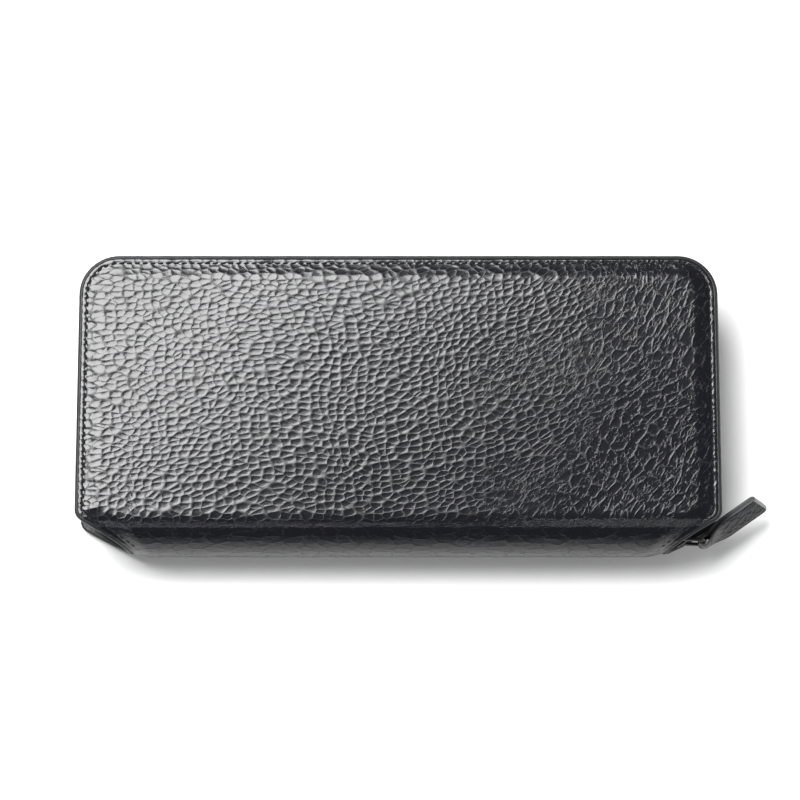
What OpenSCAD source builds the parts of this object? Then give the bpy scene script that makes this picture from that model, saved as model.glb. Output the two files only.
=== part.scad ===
// Long zip-around wallet, closed and lying on its back cover.
// +X runs along the length, +Y points at the long zip side, +Z is up. The spine is at -Y.
// The origin is the middle of the flat face that the back cover rests on.

/* [Overall size] */
// Length along the spine
length = 200; // [192:1:208]
// Depth from the spine to the long zip side
depth = 94; // [92:1:100]
// Thickness when closed
thickness = 24; // [24:0.5:26]

/* [Cover outline] */
// Radius of the two corners on the long zip side
corner_r = 12.5; // [9:0.5:16]
// Run of each diagonal cut along the length
cut_x = 16; // [15:0.5:17]
// Run of each diagonal cut along the depth
cut_y = 10.4; // [10:0.1:11]
// Radius where a side turns into its diagonal cut
cut_corner_r = 5; // [3:0.5:7]

/* [Layers] */
// Outer leather
leather_t = 1.2; // [1:0.1:1.3]
// Soft interlining under the leather
interlining_t = 0.5; // [0.3:0.1:0.6]
// Stiffening board in each cover
board_t = 0.6; // [0.4:0.1:0.7]
// Lining leather
lining_t = 0.4; // [0.3:0.05:0.45]
// One card strip
strip_t = 0.45; // [0.3:0.05:0.45]

/* [Seam] */
// Distance of the seam from the edge
seam_inset = 2.65; // [2.2:0.05:2.9]
// Distance from one stitch to the next
stitch_pitch = 2.45; // [2:0.05:3.2]

/* [Main zip] */
// Distance of the zip tape from the cover's edge
zip_inset = 3.2; // [3.1:0.1:3.8]
// The same on the diagonal cuts, where the slider is parked
zip_end_inset = 5.5; // [5.3:0.1:5.7]
// Distance between two teeth of one row
tooth_pitch = 2.6; // [2.6:0.1:3.2]

/* [Coin pouch] */
// Width of the pouch
pouch_w = 168; // [160:1:170]
// Height of the pouch's mouth above the middle of the wallet
pouch_top = 27; // [24:0.5:27]
// Thickness of the pouch, walls and lining included
pouch_t = 6; // [5.8:0.1:6]
// Depth of the gussets' folds, inward from the pouch's side edges
gusset_depth = 12; // [8:1:16]

/* [Pull] */
// Length of the metal ring between its two end wires
ring_len = 8; // [7.8:0.1:9]
// Length of the leather tab from the ring's end wire
tab_len = 23.4; // [19:0.1:24]
// Width of the leather tab
tab_w = 6.8; // [5.5:0.1:6.8]
// Angle of the tab from the length direction
tab_angle = 35; // [25:1:36]

/* [Hidden] */
$fn = 48;

// Colours
black_leather = [0.07, 0.07, 0.085];
black_cloth = [0.05, 0.05, 0.055];
board_grey = [0.45, 0.43, 0.4];
gunmetal = [0.3, 0.29, 0.28];
thread_black = [0.03, 0.03, 0.035];

// Main places
side_x = length / 2;
top_y = depth / 2;
mid_z = thickness / 2;
outer_r = thickness / 2;
spine_y = outer_r - depth / 2;
cut_top = cut_y - depth / 2;
gap = 0.3;

// Half heights of the layers above and below the middle plane, from the outside in
h_leather = outer_r - leather_t;
h_interlining = h_leather - interlining_t;
h_board = h_interlining - board_t;
h_lining = h_board - lining_t;
h_strips = h_lining - 4 * strip_t;
h_pouch = pouch_t / 2;

// The covers turn about lines on the spine's outside, this far round from the flat faces
fold_angle = 28;
fold_gap_angle = asin(gap / 2 / outer_r);
board_inset = 4.5;
board_bottom = spine_y + 2;

// Card strips
strip_half_w = 90;
strip_bottom = spine_y + 9;
strip_top = 39;
strip_step = 9;

// Seam groove
groove_w = 0.9;
groove_d = 0.3;
stitch_len = 1.9;
stitch_w = 0.6;

// Zip tape and teeth
tape_t = 0.8;
flange_out = 0.8;
flange_t = 0.4;
tooth_w = 1;
tooth_n = 1.3;
tooth_h = 2.3;
tooth_mesh = 0.5;
zip_cut_r = 3;
split_y = -33;
row_gap = 0.8;
end_tooth_h = 2.2;
end_tape_top = row_gap + end_tooth_h;

// Slider on the right diagonal
slider_t = 11.6;
slider_len = 8.6;
slider_half_w = 4.3;
slider_slot = 1.6;
slider_plate = 0.9;
bridge_half_w = 1.2;
bridge_window = 1.5;
bridge_wall = 0.6;
bridge_start = 0.8;
bridge_len = 5.3;
pivot_u = -2;
pivot_n = slider_slot + slider_plate + bridge_window / 2;
stop_len = 1.6;

// Ring and tab
wire_r = 0.55;
ring_half_w = 4.25;
tab_r = 1.95;
tab_hole_r = 0.85;
filler_start = 1.9;
tab_point = 2.2;

// Coin pouch and its zip
pouch_wall = 0.5;
pouch_lining_t = 0.3;
pouch_bottom = spine_y - 8.7;
pouch_end_inset = 10;
gusset_t = 0.4;
gusset_top = pouch_top - 7;
gusset_bottom = split_y + 1;
h_pouch_in = h_pouch - pouch_wall - pouch_lining_t;
coin_tape_t = 0.4;
coin_tape_low = pouch_top - 4;
coin_row_y = pouch_top + 0.85;
coin_tape_half = 80;
coin_tooth_n = 1;
coin_tooth_pitch = 2;
coin_tooth_w = 0.8;
coin_row_in = 0.6;
coin_row_out = 1.6;
coin_end_x = 76;

// Coin slider and pull
coin_x = 71;
coin_slider_len = 7;
coin_plate = 0.8;
coin_slot = coin_tooth_n + gap;
coin_top_y = coin_row_y + coin_slot + coin_plate;
coin_pivot_y = coin_top_y + 0.8;
coin_pull_len = 9.8;

// Directions and points of the outline, right half, clockwise from the top

cut_dir = [-cut_x, -cut_y] / norm([cut_x, cut_y]);
cut_in = right_of(cut_dir);
cut_angle = atan2(-cut_dir.y, -cut_dir.x);

function right_of(v) = [v.y, -v.x];
function turned(v, w) = [v.x * cos(w) - v.y * sin(w), v.x * sin(w) + v.y * cos(w)];

// A right-hand turn of radius r at corner p, from unit direction a to unit direction b
function fillet(p, a, b, r, steps = 10) =
  let (w = acos(a * b), from = -right_of(a) * r, centre = p - a * r * tan(w / 2) - from)
  [for (i = [0 : steps]) centre + turned(from, -w * i / steps)];

function diagonal_point(t, inset) = [side_x, cut_top] + cut_dir * t + cut_in * inset;
function diagonal_at_x(x, inset) = diagonal_point((side_x + cut_in.x * inset - x) / -cut_dir.x, inset);
function diagonal_at_y(y, inset) = diagonal_point((cut_top + cut_in.y * inset - y) / -cut_dir.y, inset);

function half_outline(side, end, cut_r, bottom) = concat(
  fillet([side_x - side, top_y - side], [1, 0], [0, -1], corner_r - side),
  fillet(diagonal_at_x(side_x - side, end), [0, -1], cut_dir, cut_r),
  [diagonal_at_y(bottom, end)]);

// The whole line round the wallet, from the right end of the spine to the left end
function around(side, end, cut_r = cut_corner_r, bottom = -top_y) =
  let (half = half_outline(side, end, cut_r, bottom), n = len(half) - 1)
  concat([for (i = [n : -1 : 0]) half[i]], [for (p = half) [-p.x, p.y]]);

function lengths(p) =
  [for (i = 0, s = 0; i < len(p); s = s + (i + 1 < len(p) ? norm(p[i + 1] - p[i]) : 0), i = i + 1) s];

// Point and heading at distance s along the line p, whose running lengths are c
function place(p, c, s) =
  let (i = max([for (k = [0 : len(p) - 2]) if (c[k] <= s) k]), d = (p[i + 1] - p[i]) / (c[i + 1] - c[i]))
  [p[i] + d * (s - c[i]), atan2(d.y, d.x)];

// Repeats its children along a line, between two heights of y
module along(p, pitch, y_from, y_to, phase = 0) {
  c = lengths(p);
  count = floor(c[len(p) - 1] / pitch) - 1;
  start = (c[len(p) - 1] - count * pitch) / 2 + phase * pitch;
  for (k = [0 : count - 1]) {
    q = place(p, c, start + k * pitch);
    if (q[0].y > y_from && q[0].y < y_to) translate([q[0].x, q[0].y, 0]) rotate(q[1]) children();
  }
}

// Sections across the spine, drawn in Y and Z

module along_x(len = length + 2) { rotate([90, 0, 90]) linear_extrude(len, center = true) children(); }

module stadium_2d(h) {
  translate([spine_y, mid_z]) {
    circle(h, $fn = 96);
    translate([0, -h]) square([depth, 2 * h]);
  }
}

module shell(outer, inner) {
  along_x() difference() {
    stadium_2d(outer);
    stadium_2d(inner);
  }
}

module wedge_2d(from, to) {
  translate([spine_y, mid_z])
    polygon(concat([[0, 0]], [for (i = [0 : 6]) let (w = from + (to - from) * i / 6) 40 * [-sin(w), -cos(w)]]));
}

module back_region() {
  along_x() {
    wedge_2d(-1, fold_angle - fold_gap_angle);
    translate([spine_y, -1]) square([depth + 1, mid_z + 1]);
  }
}

module spine_region() { along_x() wedge_2d(fold_angle + fold_gap_angle, 180 - fold_angle - fold_gap_angle); }

// Cuts in plan

module plan(points, low = -1, high = thickness + 1) { translate([0, 0, low]) linear_extrude(high - low) polygon(points); }

module band(outer, inner, low, high) {
  translate([0, 0, low]) linear_extrude(high - low) difference() {
    polygon(outer);
    polygon(inner);
  }
}

module above_y(y) { translate([-length, y, -thickness]) cube([2 * length, 2 * depth, 3 * thickness]); }
module below_y(y) { translate([-length, y - 2 * depth, -thickness]) cube([2 * length, 2 * depth, 3 * thickness]); }

// Turns a piece of the back cover into its twin on the front cover, and a right-hand piece into a left-hand one
module to_front() { translate([0, 0, thickness]) mirror([0, 0, 1]) children(); }
module to_left() { mirror([1, 0, 0]) children(); }

// Covers: every piece is drawn for the back cover

module cover_leather() {
  difference() {
    intersection() {
      shell(outer_r, h_leather);
      plan(around(0, 0));
      back_region();
    }
    intersection() {
      band(around(seam_inset - groove_w / 2, seam_inset - groove_w / 2),
           around(seam_inset + groove_w / 2, seam_inset + groove_w / 2), -1, groove_d);
      above_y(spine_y);
    }
  }
}

module cover_seam_thread() {
  along(around(seam_inset, seam_inset), stitch_pitch, spine_y + 1, top_y)
    translate([-stitch_len / 2, -stitch_w / 2, 0.02]) cube([stitch_len, stitch_w, groove_d - 0.02]);
}

module cover_interlining() {
  intersection() {
    union() {
      intersection() {
        shell(h_leather, h_interlining);
        above_y(board_bottom);
      }
      intersection() {
        shell(h_leather, h_board);
        below_y(board_bottom);
      }
    }
    plan(around(board_inset, board_inset));
    back_region();
  }
}

module cover_board() {
  intersection() {
    shell(h_interlining, h_board);
    plan(around(board_inset, board_inset));
    back_region();
    above_y(board_bottom);
  }
}

module cover_lining() {
  intersection() {
    union() {
      shell(h_board, h_lining);
      difference() {
        shell(h_leather, h_board);
        plan(around(board_inset, board_inset));
      }
    }
    plan(around(0, 0));
    back_region();
  }
}

module cover_card_strip(number) {
  low = mid_z - h_lining + (number - 1) * strip_t;
  top = strip_top - (number - 1) * strip_step;
  translate([-strip_half_w, strip_bottom, low]) cube([2 * strip_half_w, top - strip_bottom, strip_t]);
}

function tape_line(shift) = around(zip_inset + shift, zip_end_inset + shift, zip_cut_r, -depth);

module tape_wall(low, high) { band(tape_line(-tape_t / 2), tape_line(tape_t / 2), low, high); }

module cover_zip_tape() {
  floor_z = mid_z - h_lining;
  intersection() {
    union() {
      tape_wall(floor_z, mid_z + tooth_mesh - tooth_h);
      band(around(flange_out, flange_out), tape_line(tape_t / 2), floor_z, floor_z + flange_t);
    }
    above_y(split_y + gap / 2);
  }
}

module cover_zip_teeth(phase) {
  along(tape_line(0), tooth_pitch, split_y + 1, top_y, phase)
    translate([-tooth_w / 2, -tooth_n, mid_z + tooth_mesh - tooth_h]) cube([tooth_w, 2 * tooth_n, tooth_h]);
}

// Spine

module spine_layer(outer, inner) {
  intersection() {
    shell(outer, inner);
    plan(around(0, 0));
    spine_region();
  }
}

module zip_end_tape() {
  intersection() {
    union() {
      tape_wall(0, mid_z - end_tape_top);
      tape_wall(mid_z + end_tape_top, thickness);
    }
    along_x() stadium_2d(h_lining - gap);
    below_y(split_y - gap / 2);
    translate([0, -depth, 0]) cube([length, 2 * depth, thickness]);
  }
}

module on_diagonal(t) {
  translate(concat(diagonal_point(t, zip_end_inset), mid_z)) rotate(cut_angle) children();
}

module zip_end_teeth() {
  for (t = [4 : tooth_pitch : slider_t + slider_len / 2 - 0.5], side = [-1, 1])
    on_diagonal(t)
      translate([-tooth_w / 2, -tooth_n, side * (row_gap + end_tooth_h / 2) - end_tooth_h / 2])
        cube([tooth_w, 2 * tooth_n, end_tooth_h]);
}

module zip_end_stop() {
  on_diagonal(slider_t + slider_len / 2 + gap + stop_len) difference() {
    translate([0, -tooth_n, -end_tape_top - 1]) cube([stop_len, 2 * tooth_n, 2 * end_tape_top + 2]);
    for (low = [-end_tape_top - 2, end_tape_top]) translate([-1, -tape_t / 2, low]) cube([4, tape_t, 2]);
  }
}

// Folded side gusset between the back cover and the pouch, right-hand one

module ribbon(points, t) {
  polygon(concat(points, [for (i = [len(points) - 1 : -1 : 0]) points[i] + [0, t]]));
}

module gusset() {
  cover_z = mid_z - h_strips;
  pouch_z = mid_z - h_pouch;
  fold = [pouch_w / 2 - gusset_depth, (cover_z + pouch_z - gusset_t) / 2];
  outer = [strip_half_w + 3, mid_z - h_lining + 0.05];
  bend = [strip_half_w + 0.5, cover_z + 0.05];
  translate([0, gusset_top, 0]) rotate([90, 0, 0]) linear_extrude(gusset_top - gusset_bottom) {
    ribbon([outer, bend, fold], gusset_t);
    ribbon([fold, [pouch_w / 2 - 0.5, pouch_z - gusset_t]], gusset_t);
  }
}

// Coin pouch

function pouch_plan(inset, top) =
  let (x = pouch_w / 2 - inset, y = pouch_bottom + inset, end = pouch_end_inset + inset)
  [[x, top], diagonal_at_x(x, end), diagonal_at_y(y, end),
   [-diagonal_at_y(y, end).x, y], [-x, diagonal_at_x(x, end).y], [-x, top]];

module coin_pouch_wall() { plan(pouch_plan(0, pouch_top), mid_z - h_pouch, mid_z - h_pouch + pouch_wall); }

module coin_pouch_bag() {
  difference() {
    plan(pouch_plan(0, pouch_top), mid_z - h_pouch + pouch_wall, mid_z + h_pouch - pouch_wall);
    plan(pouch_plan(pouch_lining_t, pouch_top + 1), mid_z - h_pouch_in, mid_z + h_pouch_in);
  }
}

module coin_tape() {
  low = mid_z - h_pouch_in;
  translate([-coin_tape_half, coin_tape_low, low])
    cube([2 * coin_tape_half, coin_row_y + coin_tape_t / 2 - coin_tape_low, coin_tape_t]);
  translate([-coin_tape_half, coin_row_y - coin_tape_t / 2, low])
    cube([2 * coin_tape_half, coin_tape_t, mid_z - coin_row_out - low]);
}

module coin_teeth() {
  for (x = [-coin_end_x + 1 : coin_tooth_pitch : coin_end_x - 1], side = [0, 1])
    translate([x - coin_tooth_w / 2, coin_row_y - coin_tooth_n,
               side == 0 ? mid_z - coin_row_out : mid_z + coin_row_in])
      cube([coin_tooth_w, 2 * coin_tooth_n, coin_row_out - coin_row_in]);
}

module coin_stops() {
  for (side = [-1, 1])
    translate([side * (coin_end_x + 1) - 0.7, coin_row_y - coin_tooth_n, mid_z - coin_row_out])
      cube([1.4, 2 * coin_tooth_n, 2 * coin_row_out]);
}

// Main slider, drawn with its length along X, its outside toward -Y and its width along Z

module slider_shell() {
  out = slider_slot + slider_plate;
  difference() {
    translate([-slider_len / 2, -out, -slider_half_w]) cube([slider_len, 2 * out, 2 * slider_half_w]);
    cube([slider_len + 2, 2 * slider_slot, 2 * (slider_half_w - 0.8)], center = true);
    cube([slider_len + 2, 2 * (tape_t / 2 + gap), 2 * slider_half_w + 2], center = true);
  }
  translate([slider_len / 2 - 1.4, -slider_slot, -0.5]) cube([1.4, 2 * slider_slot, 1]);
}

module slider_arch() {
  foot = slider_slot + slider_plate;
  start = bridge_start - slider_len / 2;
  difference() {
    translate([start, -foot - bridge_window - bridge_wall, -bridge_half_w])
      cube([bridge_len, bridge_window + bridge_wall, 2 * bridge_half_w]);
    translate([start + 0.8, -foot - bridge_window, -2 * bridge_half_w])
      cube([bridge_len - 1.6, bridge_window + 1, 4 * bridge_half_w]);
  }
}

// The ring, from its pivot wire in the bridge to its end wire in the tab

module wire(from, to) {
  step = to - from;
  translate(from) rotate([0, step.x != 0 ? 90 : 0, 0]) cylinder(h = norm(step), r = wire_r);
  translate(from) sphere(wire_r);
}

module ring_wires() {
  corners = [[0, 0, -ring_half_w], [ring_len, 0, -ring_half_w], [0, 0, ring_half_w], [ring_len, 0, ring_half_w]];
  wire(corners[0], corners[1]);
  wire(corners[0], corners[2]);
  wire(corners[2], corners[3]);
  wire(corners[1], corners[3]);
  translate(corners[3]) sphere(wire_r);
}

pivot_xy = diagonal_point(slider_t, zip_end_inset) + turned([pivot_u, -pivot_n], cut_angle);
tab_xy = pivot_xy + [ring_len, 0];

module at_tab() { translate(concat(tab_xy, mid_z)) rotate(tab_angle) children(); }

// Broad-face outline of the tab, with its blunt point
module tab_outline() {
  rotate([90, 0, 0]) linear_extrude(4 * tab_r, center = true) polygon([
    [-3, -tab_w / 2], [tab_len - tab_point, -tab_w / 2], [tab_len, -tab_w / 6],
    [tab_len, tab_w / 6], [tab_len - tab_point, tab_w / 2], [-3, tab_w / 2]]);
}

module folded_strip_2d() {
  difference() {
    union() {
      circle(tab_r);
      translate([0, -tab_r]) square([tab_len, 2 * tab_r]);
    }
    circle(tab_hole_r);
    translate([0, -tab_hole_r]) square([tab_len + 1, 2 * tab_hole_r]);
  }
}

// Named pieces

module back_leather() { color(black_leather) cover_leather(); }
module back_interlining() { color(black_cloth) cover_interlining(); }
module back_board() { color(board_grey) cover_board(); }
module back_lining() { color(black_leather) cover_lining(); }
module back_card_strip_1() { color(black_leather) cover_card_strip(1); }
module back_card_strip_2() { color(black_leather) cover_card_strip(2); }
module back_card_strip_3() { color(black_leather) cover_card_strip(3); }
module back_card_strip_4() { color(black_leather) cover_card_strip(4); }
module back_zip_tape() { color(black_cloth) cover_zip_tape(); }
module back_zip_teeth() { color(gunmetal) cover_zip_teeth(0); }
module back_seam_thread() { color(thread_black) cover_seam_thread(); }

module front_leather() { color(black_leather) to_front() cover_leather(); }
module front_interlining() { color(black_cloth) to_front() cover_interlining(); }
module front_board() { color(board_grey) to_front() cover_board(); }
module front_lining() { color(black_leather) to_front() cover_lining(); }
module front_card_strip_1() { color(black_leather) to_front() cover_card_strip(1); }
module front_card_strip_2() { color(black_leather) to_front() cover_card_strip(2); }
module front_card_strip_3() { color(black_leather) to_front() cover_card_strip(3); }
module front_card_strip_4() { color(black_leather) to_front() cover_card_strip(4); }
module front_zip_tape() { color(black_cloth) to_front() cover_zip_tape(); }
module front_zip_teeth() { color(gunmetal) to_front() cover_zip_teeth(0.5); }
module front_seam_thread() { color(thread_black) to_front() cover_seam_thread(); }

module spine_leather() { color(black_leather) spine_layer(outer_r, h_leather); }
module spine_interlining() { color(black_cloth) spine_layer(h_leather, h_board); }
module spine_lining() { color(black_leather) spine_layer(h_board, h_lining); }
module zip_end_tape_left() { color(black_cloth) to_left() zip_end_tape(); }
module zip_end_tape_right() { color(black_cloth) zip_end_tape(); }
module zip_end_teeth_left() { color(gunmetal) to_left() zip_end_teeth(); }
module zip_end_teeth_right() { color(gunmetal) zip_end_teeth(); }
module zip_end_stops() {
  color(gunmetal) {
    zip_end_stop();
    to_left() zip_end_stop();
  }
}

module gusset_back_left() { color(black_leather) to_left() gusset(); }
module gusset_back_right() { color(black_leather) gusset(); }
module gusset_front_left() { color(black_leather) to_front() to_left() gusset(); }
module gusset_front_right() { color(black_leather) to_front() gusset(); }

module coin_pouch_back() { color(black_leather) coin_pouch_wall(); }
module coin_pouch_front() { color(black_leather) to_front() coin_pouch_wall(); }
module coin_pouch_lining() { color(black_cloth) coin_pouch_bag(); }
module coin_zip_tape_back() { color(black_cloth) coin_tape(); }
module coin_zip_tape_front() { color(black_cloth) to_front() coin_tape(); }
module coin_zip_teeth() { color(gunmetal) coin_teeth(); }
module coin_zip_stops() { color(gunmetal) coin_stops(); }

module slider_body() { color(gunmetal) on_diagonal(slider_t) slider_shell(); }
module slider_bridge() { color(gunmetal) on_diagonal(slider_t) slider_arch(); }
module pull_ring() { color(gunmetal) translate(concat(pivot_xy, mid_z)) ring_wires(); }
module tab_leather() {
  color(black_leather) at_tab() intersection() {
    linear_extrude(tab_w, center = true) folded_strip_2d();
    tab_outline();
  }
}
module tab_filler() {
  color(board_grey) at_tab() intersection() {
    translate([filler_start, -tab_hole_r, -tab_w / 2]) cube([tab_len - filler_start, 2 * tab_hole_r, tab_w]);
    tab_outline();
  }
}

module coin_slider_body() {
  half_len = coin_slider_len / 2;
  color(gunmetal) translate([coin_x, coin_row_y, mid_z]) {
    translate([-half_len, coin_slot, -2.6]) cube([coin_slider_len, coin_plate, 5.2]);
    for (low = [-2.6, 2]) translate([-half_len, 0.55, low]) cube([coin_slider_len, coin_slot - 0.55, 0.6]);
    translate([-half_len, -coin_slot - coin_plate, -1.5]) cube([coin_slider_len, coin_plate, 3]);
    translate([half_len - 1.2, -coin_slot, -0.3]) cube([1.2, 2 * coin_slot, 0.6]);
  }
}
module coin_slider_bridge() {
  color(gunmetal) translate([coin_x, coin_top_y, mid_z]) difference() {
    translate([-3, 0, -0.8]) cube([6, 2.2, 1.6]);
    translate([-2.3, -1, -1]) cube([4.6, 2.6, 2]);
  }
}
module coin_pull() {
  color(gunmetal) translate([coin_x, coin_pivot_y, mid_z]) {
    cylinder(h = 3.8, r = 0.4, center = true);
    for (low = [-1.9, 1.2]) translate([-4.4, -0.4, low]) cube([4.4, 0.8, 0.7]);
    translate([-coin_pull_len, -0.4, -1.9]) cube([coin_pull_len - 4, 0.8, 3.8]);
  }
}

back_leather();
back_interlining();
back_board();
back_lining();
back_card_strip_1();
back_card_strip_2();
back_card_strip_3();
back_card_strip_4();
back_zip_tape();
back_zip_teeth();
back_seam_thread();
front_leather();
front_interlining();
front_board();
front_lining();
front_card_strip_1();
front_card_strip_2();
front_card_strip_3();
front_card_strip_4();
front_zip_tape();
front_zip_teeth();
front_seam_thread();
spine_leather();
spine_interlining();
spine_lining();
zip_end_tape_left();
zip_end_tape_right();
zip_end_teeth_left();
zip_end_teeth_right();
zip_end_stops();
gusset_back_left();
gusset_back_right();
gusset_front_left();
gusset_front_right();
coin_pouch_back();
coin_pouch_front();
coin_pouch_lining();
coin_zip_tape_back();
coin_zip_tape_front();
coin_zip_teeth();
coin_zip_stops();
slider_body();
slider_bridge();
pull_ring();
tab_leather();
tab_filler();
coin_slider_body();
coin_slider_bridge();
coin_pull();
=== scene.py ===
import math
import bpy
import numpy as np
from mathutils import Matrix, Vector, kdtree, noise


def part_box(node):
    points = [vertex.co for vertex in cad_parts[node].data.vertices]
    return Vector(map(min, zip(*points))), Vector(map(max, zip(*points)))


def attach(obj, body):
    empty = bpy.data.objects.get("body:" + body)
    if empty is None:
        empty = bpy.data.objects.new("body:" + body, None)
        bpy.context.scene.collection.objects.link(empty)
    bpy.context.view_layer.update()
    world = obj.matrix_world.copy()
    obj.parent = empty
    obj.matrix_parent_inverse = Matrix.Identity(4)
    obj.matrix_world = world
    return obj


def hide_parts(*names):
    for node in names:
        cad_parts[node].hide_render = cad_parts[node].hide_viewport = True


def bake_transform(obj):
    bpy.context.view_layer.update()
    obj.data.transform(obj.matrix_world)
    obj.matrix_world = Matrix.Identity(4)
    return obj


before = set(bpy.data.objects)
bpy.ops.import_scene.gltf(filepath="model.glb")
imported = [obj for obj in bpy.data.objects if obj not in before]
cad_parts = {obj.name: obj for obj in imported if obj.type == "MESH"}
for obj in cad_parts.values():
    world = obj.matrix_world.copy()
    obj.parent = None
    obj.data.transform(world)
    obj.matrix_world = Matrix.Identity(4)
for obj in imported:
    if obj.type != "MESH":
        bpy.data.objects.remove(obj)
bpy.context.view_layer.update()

# All sizes are in millimetres in the CAD frame: X along the wallet, Y from the spine to the zip, Z up.
MM = 0.001

# ---- The wallet's main dimensions ----------------------------------------------------------------
cover_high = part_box("front_leather")[1] / MM
SIDE_X = cover_high.x
TOP_Y = cover_high.y
MID_Z = cover_high.z / 2

# The spine is a half-round; V_MID is its middle, measured along the leather
OUTER_R = MID_Z
SPINE_Y = OUTER_R - TOP_Y
V_MID = SPINE_Y - OUTER_R * math.pi / 2

# Corners on the zip side, and the diagonal cuts where the covers meet the spine
CORNER_R = 12.5
CUT_X = 16.0
CUT_Y = 10.4
CUT_CORNER_R = 5.0

# The lining's height over the middle plane, how far the sewn edge lies below the board, and the seam
LINING_H = MID_Z - 2.7
EDGE_DROP = 0.9
SEAM_INSET = 2.65
STITCH_PITCH = 2.45

# The zip's inset at the sides and on the diagonals
ZIP_INSET = 3.2
ZIP_END_INSET = 5.5
ZIP_CUT_R = 3.0
TOOTH_PITCH = 2.6


# ---- Outline of the covers -----------------------------------------------------------------------
def right_of(v):
    return np.array([v[1], -v[0]])


def turned(v, w):
    return np.array([v[0] * math.cos(w) - v[1] * math.sin(w), v[0] * math.sin(w) + v[1] * math.cos(w)])


CUT_DIR = -np.array([CUT_X, CUT_Y]) / math.hypot(CUT_X, CUT_Y)
CUT_IN = right_of(CUT_DIR)
CUT_START = np.array([SIDE_X, CUT_Y - TOP_Y])


def diagonal_point(t, inset):
    return CUT_START + CUT_DIR * t + CUT_IN * inset


def fillet(corner, a, b, r, steps=16):
    """A right-hand turn of radius r at a corner, from unit direction a to unit direction b."""
    angle = math.acos(float(np.dot(a, b)))
    start = -right_of(a) * r
    centre = corner - a * r * math.tan(angle / 2) - start
    return [centre + turned(start, -angle * i / steps) for i in range(steps + 1)]


def around(side, end=None, cut_r=CUT_CORNER_R):
    """The line round the wallet at an inset of side, from the right end of the spine to the left end.

    On the diagonal cuts the inset is end, if that is given."""
    end = side if end is None else end
    x = SIDE_X - side
    cut_corner = diagonal_point((SIDE_X + CUT_IN[0] * end - x) / -CUT_DIR[0], end)
    last = diagonal_point((CUT_START[1] + CUT_IN[1] * end + TOP_Y) / -CUT_DIR[1], end)
    top_corner = np.array([x, TOP_Y - side])
    half = fillet(top_corner, np.array([1.0, 0]), np.array([0, -1.0]), CORNER_R - side)
    half += fillet(cut_corner, np.array([0, -1.0]), CUT_DIR, cut_r) + [last]
    half = np.array(half)
    return np.vstack([half[::-1], half * [-1, 1]])


def resample(path, spacing):
    """Points at equal steps along a line, with their headings and their distances along it."""
    step = np.linalg.norm(np.diff(path, axis=0), axis=1)
    run = np.concatenate([[0], np.cumsum(step)])
    count = max(2, int(round(run[-1] / spacing)))
    s = np.linspace(0, run[-1], count + 1)
    points = np.stack([np.interp(s, run, path[:, k]) for k in range(path.shape[1])], 1)
    heading = np.gradient(points, axis=0)
    heading /= np.linalg.norm(heading, axis=1)[:, None]
    return points, heading, s


def flatten(y):
    """Distance along the leather, measured as y on the flat cover and carried on round the spine."""
    y = np.asarray(y, float)
    bent = np.clip((SPINE_Y - y) / OUTER_R, 0, 1)
    return np.where(y < SPINE_Y, SPINE_Y - OUTER_R * np.arcsin(bent), y)


def wrap(x, v, h, side):
    """Place of a leather point: x along the spine, v along the leather, h out from the middle plane."""
    turn = np.clip((SPINE_Y - v) / OUTER_R, 0, None)
    y = np.where(v < SPINE_Y, SPINE_Y - h * np.sin(turn), v)
    z = np.where(v < SPINE_Y, h * np.cos(turn), h)
    return np.stack([x + 0 * y, y, MID_Z + side * z], -1)


def unrolled(path):
    """A line on the wallet's outline, laid out flat as (x, v)."""
    return np.stack([path[:, 0], flatten(path[:, 1])], 1)


flat_rim = unrolled(resample(around(0), 0.4)[0])
rim_tree = kdtree.KDTree(len(flat_rim))
for number, point in enumerate(flat_rim):
    rim_tree.insert((point[0], point[1], 0), number)
rim_tree.balance()


def rim_distance(x, v):
    """How far in from the wallet's edge each point of the flat sheet lies."""
    pairs = np.stack([x.ravel(), v.ravel()], 1)
    found = [rim_tree.find((a, b, 0))[2] for a, b in pairs]
    return np.array(found).reshape(x.shape)


def smooth(t):
    t = np.clip(t, 0, 1)
    return t * t * (3 - 2 * t)


def surface_height(x, v, inset, side):
    """Height of the leather's surface: thin at the sewn edge, raised over the board, a groove at the seam."""
    height = OUTER_R - EDGE_DROP * (1 - smooth((inset - 2.4) / 5.5))
    height = height - 0.09 * np.exp(-((inset - SEAM_INSET) / 0.36) ** 2)
    if side > 0:
        middle = np.clip(1 - (x / SIDE_X) ** 2, 0, 1) * np.clip(1 - ((v - 4) / 46) ** 2, 0, 1)
        height = height + 0.7 * smooth(middle)
    return height


# ---- Mesh helpers --------------------------------------------------------------------------------
def mesh_object(name, points, faces, material, slot):
    mesh = bpy.data.meshes.new(name)
    mesh.from_pydata((np.asarray(points, float).reshape(-1, 3) * MM).tolist(), [], faces)
    mesh.polygons.foreach_set("use_smooth", [True] * len(mesh.polygons))
    mesh.update()
    made = bpy.data.objects.new(name, mesh)
    bpy.context.scene.collection.objects.link(made)
    made.data.materials.append(material)
    return made


def grid_faces(rows, columns, flip=False, closed=False, start=0):
    """Quads of a grid of points; closed joins the last column to the first."""
    r, c = np.meshgrid(np.arange(rows - 1), np.arange(columns if closed else columns - 1), indexing="ij")
    d = (c + 1) % columns
    quads = np.stack([r * columns + c, r * columns + d, (r + 1) * columns + d, (r + 1) * columns + c], -1)
    quads = quads.reshape(-1, 4) + start
    return (quads[:, ::-1] if flip else quads).tolist()


def put_vectors(piece, name, values):
    """Stores texture coordinates on a piece's points, for its material to read."""
    attribute = piece.data.attributes.new(name, "FLOAT_VECTOR", "POINT")
    attribute.data.foreach_set("vector", np.asarray(values, np.float32).ravel())


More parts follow.
